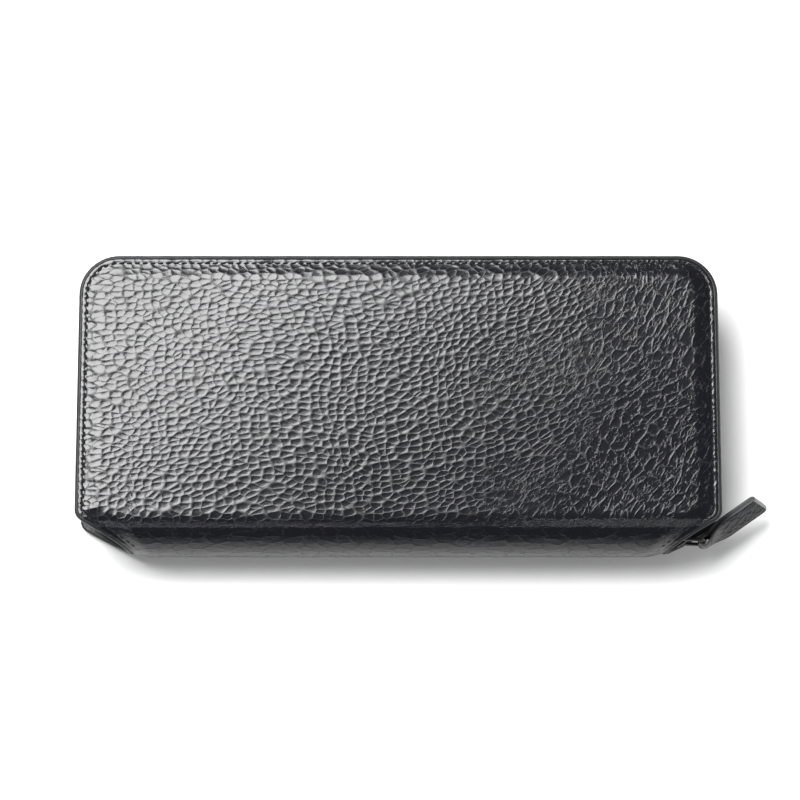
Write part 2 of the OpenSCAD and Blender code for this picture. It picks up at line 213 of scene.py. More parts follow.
def put_values(piece, name, values):
    attribute = piece.data.attributes.new(name, "FLOAT", "POINT")
    attribute.data.foreach_set("value", np.asarray(values, np.float32).ravel())


def apply_modifiers(piece):
    bpy.context.view_layer.update()
    evaluated = piece.evaluated_get(bpy.context.evaluated_depsgraph_get())
    mesh = bpy.data.meshes.new_from_object(evaluated)
    piece.modifiers.clear()
    piece.data = mesh
    return piece


def merge(parts):
    """Joins (points, faces) pairs into one pair."""
    points, faces, start = [], [], 0
    for part_points, part_faces in parts:
        part_points = np.asarray(part_points).reshape(-1, 3)
        points.append(part_points)
        faces += [[i + start for i in face] for face in part_faces]
        start += len(part_points)
    return np.vstack(points), faces


def repeat(points, faces, places):
    """Copies a small shape to many places, each a 3x3 turn and a position."""
    return merge([(points @ turn.T + position, faces) for turn, position in places])


def stands_for(piece, body, *nodes):
    """A piece that rides on a body in place of some CAD nodes."""
    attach(piece, body)
    if nodes:
        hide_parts(*nodes)


# The covers' bodies and the names of their pieces, by side
COVER_BODY = {1: "front_cover", -1: "back_cover"}
COVER_NAME = {1: "front", -1: "back"}


def bend_with_cover(piece):
    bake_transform(piece)


def bend_zip(piece):
    """Bakes the zip tape's placement into its mesh."""
    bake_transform(piece)


# ---- Leather grain: the same nodes make the relief in the mesh and in the material ---------------
def add(tree, kind, **settings):
    node = tree.nodes.new(kind)
    for key, value in settings.items():
        setattr(node, key, value)
    return node


def math_node(tree, operation, a, b=None, clamp=False):
    node = add(tree, "ShaderNodeMath", operation=operation, use_clamp=clamp)
    for socket, value in zip(node.inputs, (a, b)):
        if value is None:
            continue
        if isinstance(value, (int, float)):
            socket.default_value = value
        else:
            tree.links.new(value, socket)
    return node.outputs[0]


def ramp_node(tree, value, low, high, out_low=0.0, out_high=1.0):
    node = add(tree, "ShaderNodeMapRange", interpolation_type="SMOOTHSTEP")
    tree.links.new(value, node.inputs["Value"])
    for name, number in (("From Min", low), ("From Max", high), ("To Min", out_low), ("To Max", out_high)):
        node.inputs[name].default_value = number
    return node.outputs[0]


def noise_node(tree, vector, scale, detail=2.0, roughness=0.5, output=0):
    node = add(tree, "ShaderNodeTexNoise", noise_dimensions="3D")
    tree.links.new(vector, node.inputs["Vector"])
    node.inputs["Scale"].default_value = scale
    node.inputs["Detail"].default_value = detail
    node.inputs["Roughness"].default_value = roughness
    return node.outputs[output]


def voronoi_node(tree, vector, scale, feature="DISTANCE_TO_EDGE", randomness=1.0):
    node = add(tree, "ShaderNodeTexVoronoi", voronoi_dimensions="2D", feature=feature)
    tree.links.new(vector, node.inputs["Vector"])
    node.inputs["Scale"].default_value = scale
    node.inputs["Randomness"].default_value = randomness
    return node.outputs["Distance"]


def warped(tree, vector, scale, amount):
    """The coordinates pushed about by soft noise, so that creases wander."""
    shifted = add(tree, "ShaderNodeVectorMath", operation="MULTIPLY_ADD")
    centred = add(tree, "ShaderNodeVectorMath", operation="SUBTRACT")
    tree.links.new(noise_node(tree, vector, scale, 2.0, 0.5, 1), centred.inputs[0])
    centred.inputs[1].default_value = (0.5, 0.5, 0.5)
    tree.links.new(centred.outputs[0], shifted.inputs[0])
    shifted.inputs[1].default_value = (amount, amount, 0)
    tree.links.new(vector, shifted.inputs[2])
    return shifted.outputs[0]


def one_minus(tree, value):
    return math_node(tree, "SUBTRACT", 1.0, value)


def times(tree, value, factor):
    return math_node(tree, "MULTIPLY", value, factor)


def plus(tree, a, b):
    return math_node(tree, "ADD", a, b)


def creases(tree, vector, width, randomness=0.85):
    """1 along the borders of irregular cells, 0 inside them."""
    borders = voronoi_node(tree, vector, 1.0, randomness=randomness)
    return one_minus(tree, ramp_node(tree, borders, 0.0, width))


def pebbles(tree, vector):
    """Depth of the round grain, from 0 on the pebbles' tops to 1 in the creases; one unit is one pebble."""
    moved = warped(tree, warped(tree, vector, 0.8, 0.4), 2.8, 0.12)
    centre = voronoi_node(tree, moved, 1.0, "F1", randomness=0.85)
    deep = ramp_node(tree, noise_node(tree, vector, 0.75, 2.0), 0.36, 0.64, 0.35, 1.0)
    low = times(tree, creases(tree, moved, 0.27), 0.3)
    if tree.type == "SHADER":
        low = plus(tree, low, times(tree, creases(tree, moved, 0.085), 0.4))
    low = plus(tree, times(tree, low, deep), times(tree, ramp_node(tree, centre, 0.34, 0.68), 0.24))
    return plus(tree, low, times(tree, noise_node(tree, vector, 1.1, 1.0), 0.12))


def long_pebbles(tree, vector):
    """Depth of the drawn-out grain: thin slanting creases, with a finer net of shallow ones between them."""
    moved = warped(tree, warped(tree, vector, 0.7, 0.5), 2.6, 0.16)
    strong = ramp_node(tree, noise_node(tree, vector, 1.6, 2.0), 0.38, 0.62, 0.25, 1.0)
    low = times(tree, times(tree, creases(tree, moved, 0.2), strong), 0.36)
    if tree.type == "SHADER":
        low = plus(tree, low, times(tree, times(tree, creases(tree, moved, 0.085), strong), 0.3))
        stretch = add(tree, "ShaderNodeVectorMath", operation="MULTIPLY")
        tree.links.new(warped(tree, vector, 2.1, 0.3), stretch.inputs[0])
        stretch.inputs[1].default_value = (3.4, 2.1, 1)
        patch = ramp_node(tree, noise_node(tree, vector, 1.1, 2.0), 0.4, 0.62, 0.05, 0.34)
        low = plus(tree, low, times(tree, creases(tree, stretch.outputs[0], 0.15), patch))
    return plus(tree, low, times(tree, noise_node(tree, vector, 1.4, 2.0), 0.14))


def named_vector(tree, name):
    if tree.type == "SHADER":
        return add(tree, "ShaderNodeAttribute", attribute_name=name).outputs["Vector"]
    node = add(tree, "GeometryNodeInputNamedAttribute", data_type="FLOAT_VECTOR")
    node.inputs["Name"].default_value = name
    return node.outputs["Attribute"]


def named_value(tree, name):
    if tree.type == "SHADER":
        return add(tree, "ShaderNodeAttribute", attribute_name=name).outputs["Fac"]
    node = add(tree, "GeometryNodeInputNamedAttribute", data_type="FLOAT")
    node.inputs["Name"].default_value = name
    return node.outputs["Attribute"]


def grain_height(tree):
    """Round pebbles that pass into long slanting ones where the attribute flow rises to 1."""
    flow = named_value(tree, "flow")
    round_part = times(tree, pebbles(tree, named_vector(tree, "grain")), one_minus(tree, flow))
    long_part = times(tree, long_pebbles(tree, named_vector(tree, "grain_long")), flow)
    depth = times(tree, plus(tree, round_part, long_part), named_value(tree, "relief"))
    return math_node(tree, "SUBTRACT", 1.0, depth, clamp=True)


def emboss(piece, depth):
    """Presses the grain into a piece's mesh, by geometry nodes that are then applied."""
    tree = bpy.data.node_groups.new("emboss_" + piece.name, "GeometryNodeTree")
    tree.interface.new_socket("Geometry", in_out="INPUT", socket_type="NodeSocketGeometry")
    tree.interface.new_socket("Geometry", in_out="OUTPUT", socket_type="NodeSocketGeometry")
    entry, leave = add(tree, "NodeGroupInput"), add(tree, "NodeGroupOutput")
    push = add(tree, "ShaderNodeVectorMath", operation="SCALE")
    tree.links.new(add(tree, "GeometryNodeInputNormal").outputs[0], push.inputs[0])
    lowered = times(tree, math_node(tree, "SUBTRACT", grain_height(tree), 1.0), depth * MM)
    tree.links.new(lowered, push.inputs["Scale"])
    move = add(tree, "GeometryNodeSetPosition")
    tree.links.new(entry.outputs[0], move.inputs["Geometry"])
    tree.links.new(push.outputs[0], move.inputs["Offset"])
    tree.links.new(move.outputs[0], leave.inputs[0])
    piece.modifiers.new("emboss", "NODES").node_group = tree
    return apply_modifiers(piece)


# ---- Materials -----------------------------------------------------------------------------------
def new_material(name, roughness=0.5, metallic=0.0, specular=0.5, sheen=0.0):
    """A material with its node tree and its shader."""
    made = bpy.data.materials.new(name)
    made.use_nodes = True
    tree = made.node_tree
    shader = tree.nodes["Principled BSDF"]
    shader.inputs["Roughness"].default_value = roughness
    shader.inputs["Metallic"].default_value = metallic
    shader.inputs["Specular IOR Level"].default_value = specular
    shader.inputs["Sheen Weight"].default_value = sheen
    return made, tree, shader


def paint(tree, shader, factor, a, b):
    """Colours the shader from a to b as the factor rises from 0 to 1."""
    node = add(tree, "ShaderNodeMix", data_type="RGBA")
    tree.links.new(factor, node.inputs["Factor"])
    node.inputs[6].default_value = (*a, 1)
    node.inputs[7].default_value = (*b, 1)
    tree.links.new(node.outputs[2], shader.inputs["Base Color"])


def roughen(tree, shader, coords, scale, smoothest, roughest):
    """Varies the shader's roughness with soft noise."""
    patches = noise_node(tree, coords, scale, 3.0)
    tree.links.new(ramp_node(tree, patches, 0.3, 0.7, smoothest, roughest), shader.inputs["Roughness"])


def bump(tree, shader, height, distance, before=None):
    node = add(tree, "ShaderNodeBump")
    node.inputs["Distance"].default_value = distance * MM
    tree.links.new(height, node.inputs["Height"])
    if before is not None:
        tree.links.new(before, node.inputs["Normal"])
    tree.links.new(node.outputs[0], shader.inputs["Normal"])
    return node.outputs[0]


def object_coords(tree):
    return add(tree, "ShaderNodeTexCoord").outputs["Object"]


def make_pebbled():
    made, tree, shader = new_material("pebbled_leather", specular=0.5)
    height = grain_height(tree)
    coords = object_coords(tree)
    pores = noise_node(tree, coords, 2600, 3.0, 0.6)
    clouds = noise_node(tree, coords, 38, 3.0, 0.55)
    # Painted shade: the creases are coloured darker than the pebbles' tops, standing in for the shade that
    # falls in them
    paint(tree, shader, height, (0.0018, 0.0018, 0.0024), (0.0058, 0.006, 0.0084))
    rough = plus(tree, ramp_node(tree, height, 0.3, 0.9, 0.33, 0.145), times(tree, clouds, 0.08))
    tree.links.new(rough, shader.inputs["Roughness"])
    first = bump(tree, shader, height, 0.065)
    bump(tree, shader, pores, 0.010, first)
    return made


def make_edge_paint():
    made, tree, shader = new_material("edge_paint", roughness=0.42, specular=0.25)
    coords = object_coords(tree)
    wave = noise_node(tree, coords, 220, 3.0)
    paint(tree, shader, wave, (0.006, 0.0065, 0.007), (0.016, 0.017, 0.018))
    roughen(tree, shader, coords, 900, 0.34, 0.5)
    bump(tree, shader, noise_node(tree, coords, 700, 3.0), 0.03)
    return made


def make_tab_edge():
    made, tree, shader = new_material("tab_edge_paint", roughness=0.4)
    coords = object_coords(tree)
    wave = noise_node(tree, coords, 500, 3.0)
    paint(tree, shader, wave, (0.035, 0.036, 0.038), (0.075, 0.077, 0.08))
    bump(tree, shader, noise_node(tree, coords, 900, 3.0), 0.02)
    return made


def make_tab_end_highlight():
    """Light grey with a fibre texture: a painted highlight for the tab's cut end."""
    made, tree, shader = new_material("tab_end_painted_highlight", roughness=0.75, specular=0.3)
    coords = object_coords(tree)
    fibres = noise_node(tree, coords, 1600, 4.0)
    paint(tree, shader, fibres, (0.13, 0.13, 0.128), (0.27, 0.27, 0.265))
    bump(tree, shader, fibres, 0.05)
    return made


def make_fine_leather():
    made, tree, shader = new_material("lining_leather", specular=0.45)
    coords = object_coords(tree)
    cells = add(tree, "ShaderNodeTexVoronoi", voronoi_dimensions="3D", feature="DISTANCE_TO_EDGE")
    tree.links.new(warped(tree, coords, 500, 0.0008), cells.inputs["Vector"])
    cells.inputs["Scale"].default_value = 1500
    grain = ramp_node(tree, cells.outputs["Distance"], 0.0, 0.25)
    paint(tree, shader, grain, (0.008, 0.008, 0.009), (0.021, 0.021, 0.024))
    roughen(tree, shader, coords, 60, 0.42, 0.54)
    bump(tree, shader, grain, 0.035)
    return made


def make_thread():
    made, tree, shader = new_material("waxed_thread", roughness=0.85, specular=0.1)
    coords = object_coords(tree)
    strands = noise_node(tree, coords, 3000, 2.0)
    paint(tree, shader, strands, (0.006, 0.006, 0.007), (0.02, 0.02, 0.022))
    bump(tree, shader, strands, 0.03)
    return made


def make_zip_cloth():
    """Herringbone tape: slanting ribs that turn back at each band; the attribute weave is (along, across)."""
    made, tree, shader = new_material("zip_tape", roughness=0.8, sheen=0.25)
    parts = add(tree, "ShaderNodeSeparateXYZ")
    tree.links.new(named_vector(tree, "weave"), parts.inputs[0])
    zigzag = math_node(tree, "PINGPONG", parts.outputs[1], 1.1)
    slant = plus(tree, parts.outputs[0], zigzag)
    rib = math_node(tree, "SINE", times(tree, slant, 2 * math.pi / 0.62))
    height = ramp_node(tree, rib, -0.9, 0.9)
    paint(tree, shader, height, (0.005, 0.005, 0.006), (0.02, 0.02, 0.022))
    bump(tree, shader, height, 0.12)
    return made


def make_metal():
    made, tree, shader = new_material("gunmetal", roughness=0.34, metallic=1.0)
    coords = object_coords(tree)
    worn = ramp_node(tree, noise_node(tree, coords, 260, 4.0), 0.35, 0.75)
    paint(tree, shader, worn, (0.03, 0.029, 0.028), (0.07, 0.068, 0.064))
    roughen(tree, shader, coords, 1400, 0.28, 0.42)
    bump(tree, shader, noise_node(tree, coords, 1800, 2.0), 0.006)
    return made


def make_pouch_cloth():
    made, tree, shader = new_material("pouch_cloth", roughness=0.85, sheen=0.2)
    coords = object_coords(tree)
    twill = add(tree, "ShaderNodeTexWave", wave_type="BANDS", bands_direction="DIAGONAL")
    tree.links.new(coords, twill.inputs["Vector"])
    twill.inputs["Scale"].default_value = 420
    twill.inputs["Distortion"].default_value = 0.6
    twill.inputs["Detail Scale"].default_value = 600
    paint(tree, shader, twill.outputs["Fac"], (0.01, 0.01, 0.012), (0.035, 0.035, 0.04))
    bump(tree, shader, twill.outputs["Fac"], 0.08)
    return made


PEBBLED = make_pebbled()
TAB_EDGE = make_tab_edge()
TAB_END_HIGHLIGHT = make_tab_end_highlight()
EDGE_PAINT = make_edge_paint()
FINE_LEATHER = make_fine_leather()
THREAD = make_thread()
ZIP_CLOTH = make_zip_cloth()
METAL = make_metal()
POUCH_CLOTH = make_pouch_cloth()


# ---- Outer leather: each half runs from its cover's edge to the middle of the spine --------------
LEATHER_INSET = 0.95
GRAIN_DEPTH = 0.14


def wander(x, v, scale, seed):
    """Soft hills of noise, to bend the grain's direction a little."""
    places = zip(x.ravel() / scale, v.ravel() / scale)
    return np.array([noise.noise(Vector((a, b, seed))) for a, b in places]).reshape(x.shape)


def grain_fields(x, w):
    """Texture coordinates of both grains and the long one's share, at x along the spine and w round it."""
    step = 6
    coarse_x, coarse_w = x[::step, ::step], w[::step, ::step]
    rows, columns = x.shape
    r, c = np.arange(rows) / step, np.arange(columns) / step

    def spread(values):
        along = np.array([np.interp(c, np.arange(values.shape[1]), line) for line in values])
        return np.array([np.interp(r, np.arange(values.shape[0]), line) for line in along.T]).T

    push_a = spread(wander(coarse_x, coarse_w, 26.0, 1.7))
    push_b = spread(wander(coarse_x, coarse_w, 31.0, 8.3))
    tilt = 0.10 + 0.35 * smooth((x + 10) / 90)
    p = (x + tilt * w * 0.5 + 3.5 * push_a) / 3.15
    q = (w - tilt * x * 0.75 + 3.0 * push_b) / 1.95
    slant = math.radians(54)
    along = x * math.cos(slant) + w * math.sin(slant) + 5 * push_b
    across = w * math.cos(slant) - x * math.sin(slant) + 4 * push_a
    flow = smooth((x - 0.25 * w - 22 + 26 * push_a) / 46)
    on_spine = smooth((SPINE_Y - 2 - w) / 3) * smooth((w - 2 * V_MID + SPINE_Y - 2) / 3)
    along = along * (1 - on_spine) + on_spine * (x + 4 * push_b) * 0.8
    across = across * (1 - on_spine) + on_spine * (w + 2 * push_a)
    flow = np.maximum(flow, on_spine)
    zero = 0 * p
    return np.stack([p, q, zero], -1), np.stack([along / 4.6, across / 2.5, zero], -1), flow


def sorted_by_x(points):
    return points[np.argsort(points[:, 0])]


def half_sheet(inset, rows, columns, crowding, lining=False):
    """Grid of (x, v) over one cover's outline, from its zip side to the middle of the spine.

    The lining keeps its full width up to the diagonal cuts.
    """
    rim = resample(around(inset), 0.3)[0]
    rim[:, 1] = flatten(rim[:, 1])
    upper = sorted_by_x(rim[rim[:, 1] > 0])
    lower = sorted_by_x(rim[rim[:, 1] < 0])
    if not lining:
        lower = sorted_by_x(np.vstack([lower, [0, V_MID]]))
    x = upper[-1, 0] * np.sin(np.linspace(-1, 1, columns) * math.asin(crowding)) / crowding
    top = np.interp(x, upper[:, 0], upper[:, 1])
    bottom = np.interp(x, lower[:, 0], lower[:, 1])
    if lining:
        bottom[np.abs(x) < SIDE_X - CUT_X] = V_MID
    t = np.linspace(0, 1, rows)[:, None]
    return np.repeat(x[None, :], rows, 0), top + (bottom - top) * t


def leather_half(side):
    rows, columns = 208, 432
    x, v = half_sheet(LEATHER_INSET, rows, columns, 0.9)
    inset = rim_distance(x, v)
    rounding = 0.22 * (1 - smooth((inset - LEATHER_INSET) / 0.35))
    points = wrap(x, v, surface_height(x, v, inset, side) - rounding, side)
    piece = mesh_object(COVER_NAME[side] + "_outer_leather", points,
                        grid_faces(rows, columns, flip=side < 0), PEBBLED, "outer_leather")
    grain, grain_long, flow = grain_fields(x, v if side > 0 else 2 * V_MID - v)
    near_seam = np.exp(-((inset - SEAM_INSET) / 0.4) ** 2)
    put_vectors(piece, "grain", grain)
    put_vectors(piece, "grain_long", grain_long)
    put_values(piece, "flow", flow)
    put_values(piece, "relief", smooth((inset - 1.1) / 0.9) * (1 - 0.75 * near_seam))
    emboss(piece, GRAIN_DEPTH)
    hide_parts(*(COVER_NAME[side] + part for part in ("_leather", "_interlining", "_board")))
    if side > 0:
        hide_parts("spine_leather", "spine_interlining")
    bend_with_cover(piece)


def edge_band(side):
    """The painted edge: a rounded lip that runs from the leather's face to the lining's."""
    profile = [(1.6, -0.4), (1.25, -0.12), (1.0, -0.03), (0.72, -0.05), (0.45, -0.16), (0.22, -0.36),
               (0.06, -0.64), (0.0, -0.98), (0.08, -1.33), (0.34, -1.65), (0.8, -1.8), (1.6, -1.82)]
    face = OUTER_R - EDGE_DROP
    scale = (face - LINING_H) / 1.8
    path, _, run = resample(around(0), 0.6)
    flat = unrolled(path)
    heading = np.gradient(flat, axis=0)
    heading /= np.linalg.norm(heading, axis=1)[:, None]
    heading[0], heading[-1] = heading[1], heading[-2]
    inward = np.stack([-heading[:, 1], heading[:, 0]], 1)
    rings = []
    for inset, drop in profile:
        at = flat + inward * inset
        wobble = 0.05 * np.sin(run / 3.1 + inset) * np.sin(run / 7.7) * (drop > -1.7)
        rings.append(wrap(at[:, 0], np.maximum(at[:, 1], V_MID), face + drop * scale + wobble, side))
    faces = grid_faces(len(profile), len(path), flip=side > 0)
    made = mesh_object(COVER_NAME[side] + "_painted_edge", rings, faces, EDGE_PAINT, "outer_leather")
    bend_with_cover(made)


def capsule(length, width, height, segments=8, rings=7):
    """A stitch lying along X: rounded, arched, with its ends dipping down."""
    t = np.linspace(-1, 1, rings)
    swell = np.sqrt(np.clip(1 - (t * 0.96) ** 4, 0, 1))
    angles = np.arange(segments) * 2 * math.pi / segments
    points = []
    for a, s in zip(t, swell):
        arch = 0.35 * height * (1 - 2.2 * a * a)
        points += [[length / 2 * a, width / 2 * s * math.cos(w), height / 2 * s * math.sin(w) + arch]
                   for w in angles]
    last = (rings - 1) * segments
    faces = grid_faces(rings, segments, flip=True, closed=True)
    faces += [[last + i for i in range(segments)], list(range(segments))[::-1]]
    return np.array(points), faces


def seam(side):
    points, faces = capsule(STITCH_PITCH * 0.84, 0.62, 0.5)
    at, heading, _ = resample(unrolled(resample(around(SEAM_INSET), 0.3)[0]), STITCH_PITCH)
    keep = at[:, 1] > V_MID + 4.5
    at, heading = at[keep], heading[keep]
    height = surface_height(at[:, 0], at[:, 1], np.full(len(at), SEAM_INSET), side)
    here = wrap(at[:, 0], at[:, 1], height + 0.02, side)
    ahead = wrap(at[:, 0] + heading[:, 0], at[:, 1] + heading[:, 1], height + 0.02, side) - here
    above = wrap(at[:, 0], at[:, 1], height + 1, side) - here
    places = []
    for centre, along, up in zip(here, ahead, above):
        along = along / np.linalg.norm(along)
        up = up / np.linalg.norm(up)
        across = np.cross(up, along)
        slanted = along * math.cos(0.13) + across * math.sin(0.13)
        places.append((np.stack([slanted, np.cross(up, slanted), up], 1), centre))
    made = mesh_object(COVER_NAME[side] + "_seam_stitches", *repeat(points, faces, places), THREAD, "thread")
    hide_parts(COVER_NAME[side] + "_seam_thread")
    bend_with_cover(made)


def cover_lining(side):
    rows, columns = 90, 120
    x, v = half_sheet(0.9, rows, columns, 0.97, lining=True)
    made = mesh_object(COVER_NAME[side] + "_cover_lining", wrap(x, v, LINING_H + 0 * x, side),
                       grid_faces(rows, columns, flip=side > 0), FINE_LEATHER, "lining_leather")
    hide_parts(COVER_NAME[side] + "_lining")
    if side > 0:
        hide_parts("spine_lining")
    bend_with_cover(made)


for side in (1, -1):
    leather_half(side)
    edge_band(side)
    seam(side)
    cover_lining(side)


# ---- Zip -----------------------------------------------------------------------------------------
def zip_line(spacing):
    """The zip's line round the wallet, cut off where the spine closes over it, with the rows' gap there."""
    path = resample(around(ZIP_INSET, ZIP_END_INSET, ZIP_CUT_R), 0.3)[0]
    depth = np.clip(SPINE_Y - path[:, 1], 0, None)
    path = path[depth < LINING_H - 0.6]
    points, heading, run = resample(path, spacing)
    inward = np.stack([-heading[:, 1], heading[:, 0]], 1)
    return points, heading, inward, run


def row_height(y):
    """Height of a row's tips over the middle plane: below it where the rows mesh, above on the diagonals."""
    return -0.5 + 1.3 * smooth((SPINE_Y + 5 - y) / 4)


def zip_tape(side):
    points, _, inward, run = zip_line(1.2)
    roof = np.sqrt(LINING_H ** 2 - np.clip(SPINE_Y - points[:, 1], 0, None) ** 2) + 0.15
    low = np.minimum(row_height(points[:, 1]) + 1.6, roof - 0.1)
    section = [(0.55, 0.0), (0.5, 0.12), (0.36, 0.3), (0.34, 0.6), (0.5, 0.85), (1.5, 1.0),
               (-0.45, 1.0), (-0.42, 0.85), (-0.36, 0.6), (-0.36, 0.3), (-0.5, 0.12), (-0.55, 0.0)]
    rings, weave = [], []
    for n, t in section:
        h = low + (roof - low) * t
        bow = 0.22 * math.sin(math.pi * t) * np.sin(run / 6.3)
        at = points + inward * (n + bow)[:, None]
        rings.append(np.stack([at[:, 0], at[:, 1], MID_Z + side * h], -1))
        weave.append(np.stack([run, h, 0 * run], -1))
    faces = grid_faces(len(section), len(run), flip=side > 0)
    made = mesh_object(COVER_NAME[side] + "_zip_band", rings, faces, ZIP_CLOTH, "zip_tape")
    put_vectors(made, "weave", weave)
    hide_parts(COVER_NAME[side] + "_zip_tape")
    if side > 0:
        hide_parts("zip_end_tape_left", "zip_end_tape_right")
    bend_zip(made)


def tooth(scale=1.0):
    """One moulded tooth standing on its tape: a clamped foot, a waist and a rounded head."""
    levels = [(0.0, 0.46, 1.18), (0.5, 0.5, 1.2), (0.95, 0.42, 1.02), (1.3, 0.36, 0.86), (1.75, 0.5, 0.98),
              (2.1, 0.46, 0.9), (2.3, 0.22, 0.6)]
    corners = [(1, 0.55), (0.6, 1), (-0.6, 1), (-1, 0.55), (-1, -0.55), (-0.6, -1), (0.6, -1), (1, -0.55)]
    points = np.array([[w * a, n * b, h] for h, w, n in levels for a, b in corners]) * scale
    faces = grid_faces(len(levels), len(corners), closed=True)
    last = (len(levels) - 1) * len(corners)
    return points, faces + [list(range(len(corners)))[::-1], [last + i for i in range(len(corners))]]


def zip_teeth(side):
    """Places of one row's teeth along the zip's line."""
    line, heading, _, run = zip_line(0.2)
    first = 3.2 + (TOOTH_PITCH / 2 if side > 0 else 0)
    places = []
    for s in np.arange(first, run[-1] - 3.2, TOOTH_PITCH):
        at = np.array([np.interp(s, run, line[:, k]) for k in (0, 1)])
        along = np.array([np.interp(s, run, heading[:, k]) for k in (0, 1)])
        turn = np.array([[along[0], -along[1] * side, 0], [along[1], along[0] * side, 0], [0, 0, -side]])
        places.append((turn, np.array([at[0], at[1], MID_Z + side * (row_height(at[1]) + 2.3)])))
    return places


def all_teeth():
    points, faces = tooth()
    ends = {"left": [], "right": []}
    for side in (1, -1):
        on_cover = []
        for turn, at in zip_teeth(side):
            spot = on_cover if at[1] > SPINE_Y + 2 else ends["right" if at[0] > 0 else "left"]
            spot.append((turn, at))
        made = mesh_object(COVER_NAME[side] + "_zip_row", *repeat(points, faces, on_cover), METAL, "gunmetal")
        stands_for(made, COVER_BODY[side], COVER_NAME[side] + "_zip_teeth")
    for end, places in ends.items():
        made = mesh_object("end_zip_row_" + end, *repeat(points, faces, places), METAL, "gunmetal")
        stands_for(made, "spine", "zip_end_teeth_" + end)


# ---- Inside: card strips, gussets, coin pouch ----------------------------------------------------
STRIP_BOX = [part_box("back_card_strip_%d" % k) for k in (1, 2, 3, 4)]


def extrude_along_x(profile, columns, shape):
    """Sweeps a closed (y, h) outline along X; shape(x, y, h) gives the place of each point."""
    count = len(columns)
    rows = [shape(columns, np.full(count, y), np.full(count, h)) for y, h in profile + profile[:1]]
    faces = grid_faces(len(rows), count)
    ends = [[r * count + c for r in range(len(profile))] for c in (0, count - 1)]
    return np.array(rows), faces + [ends[0], ends[1][::-1]]


def card_strip(side, level):
    box_low, box_high = (c / MM for c in STRIP_BOX[level])
    inner = MID_Z - box_low.z
    top, bottom = box_high.y, box_low.y
    profile = [(bottom, inner), (bottom, inner - 0.4), (top - 2.1, inner - 0.42), (top - 1.9, inner - 0.34),
               (top - 1.7, inner - 0.42), (top - 0.5, inner - 0.43), (top - 0.12, inner - 0.36),
               (top, inner - 0.2), (top - 0.12, inner - 0.04), (top - 0.5, inner)]

    def place(x, y, h):
        pocket = np.abs(np.sin(np.pi * x / box_high.x)) * smooth((y - bottom) / (top - bottom))
        return np.stack([x, y, MID_Z + side * (h - 0.25 * pocket)], -1)

    points, faces = extrude_along_x(profile, np.linspace(box_low.x, box_high.x, 61), place)
    stitch, stitch_faces = capsule(2.0, 0.5, 0.3)
    upright = np.array([[0, side, 0], [1, 0, 0], [0, 0, -side]], float)
    places = [(upright, np.array([0, y, MID_Z + side * (inner - 0.42)]))
              for y in np.arange(bottom + 1.5, top - 1, 2.4)]
    count = points.size // 3
    points, faces = merge([(points, faces), repeat(stitch, stitch_faces, places)])
    if side > 0:
        faces = [f[::-1] for f in faces]
    name = "%s_card_strip_%d" % (COVER_NAME[side], level + 1)
    made = mesh_object(name + "_leather", points, faces, FINE_LEATHER, "lining_leather")
    made.data.materials.append(THREAD)
    for face in made.data.polygons:
        face.material_index = int(face.vertices[0] >= count)
    stands_for(made, COVER_BODY[side], name)


def gusset(side, end):
    """A folded side gusset: from the card strips' side in to its fold and back out to the pouch's edge."""
    node = "gusset_%s_%s" % (COVER_NAME[side], "right" if end > 0 else "left")
    low, high = (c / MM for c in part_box(node))
    outer, fold = max(abs(low.x), abs(high.x)), min(abs(low.x), abs(high.x))
    line = [(outer, 9.2), (90.6, 7.5), (84.5, 6.5), (78, 5.6), (fold + 0.6, 5.0), (fold + 0.1, 4.75),
            (fold + 0.6, 4.4), (76, 4.0), (80, 3.6), (83.5, 3.2)]
    thick = 0.32
    t = np.linspace(0, 1, 24)
    y = high.y + (low.y - high.y) * t
    rows = []
    for x, h in line + [(x, h - thick) for x, h in line[::-1]] + line[:1]:
        sag = 0.05 * np.abs(np.sin(np.pi * t) * np.sin(5 * t + x / 9))
        rows.append(np.stack([end * (x + 0 * t), y, MID_Z + side * (h - sag)], -1))
    faces = grid_faces(len(rows), len(t), flip=side * end > 0)
    made = mesh_object(node + "_leather", rows, faces, FINE_LEATHER, "lining_leather")
    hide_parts(node)
    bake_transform(made)


POUCH_LOW, POUCH_HIGH = (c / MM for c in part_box("coin_pouch_lining"))
POUCH_END_INSET = 10.0


def pouch_half_width(y):
    """Half width of the pouch at y: full above, narrowing along the diagonals below."""
    base = diagonal_point(0, POUCH_END_INSET)
    along = (base[1] - y) / -CUT_DIR[1]
    return np.minimum(POUCH_HIGH.x, base[0] + CUT_DIR[0] * along)


def pouch_sheet(name, side, outer, thick, inset, material, slot):
    """One of the pouch's sheets: flat at its sewn sides, swelling by half a millimetre between them."""
    rows, columns = 60, 90
    y = np.linspace(POUCH_LOW.y + inset, POUCH_HIGH.y - inset, rows)[:, None]
    u = np.linspace(-1, 1, columns)[None, :]
    x = u * (pouch_half_width(y) - inset)
    bulge = (1 - u ** 4) * smooth((y - POUCH_LOW.y) / 14) * smooth((POUCH_HIGH.y - y) / 12 + 0.1)
    ripple = 0.05 * np.sin(x / 7 + y / 11) * np.sin(y / 6 - x / 13)
    high = outer + (0.5 + ripple) * bulge
    top = np.stack([x, y + 0 * x, MID_Z + side * high], -1)
    under = np.stack([x, y + 0 * x, MID_Z + side * (high - thick)], -1)
    rim = [(0, c) for c in range(columns)] + [(r, columns - 1) for r in range(1, rows)]
    rim += [(rows - 1, c) for c in range(columns - 2, -1, -1)] + [(r, 0) for r in range(rows - 2, 0, -1)]
    index = [r * columns + c for r, c in rim]
    count = rows * columns
    faces = grid_faces(rows, columns) + grid_faces(rows, columns, flip=True, start=count)
    faces += [[a + count, b + count, b, a] for a, b in zip(index, index[1:] + index[:1])]
    if side < 0:
        faces = [f[::-1] for f in faces]
    return mesh_object(name, np.stack([top, under]), faces, material, slot)


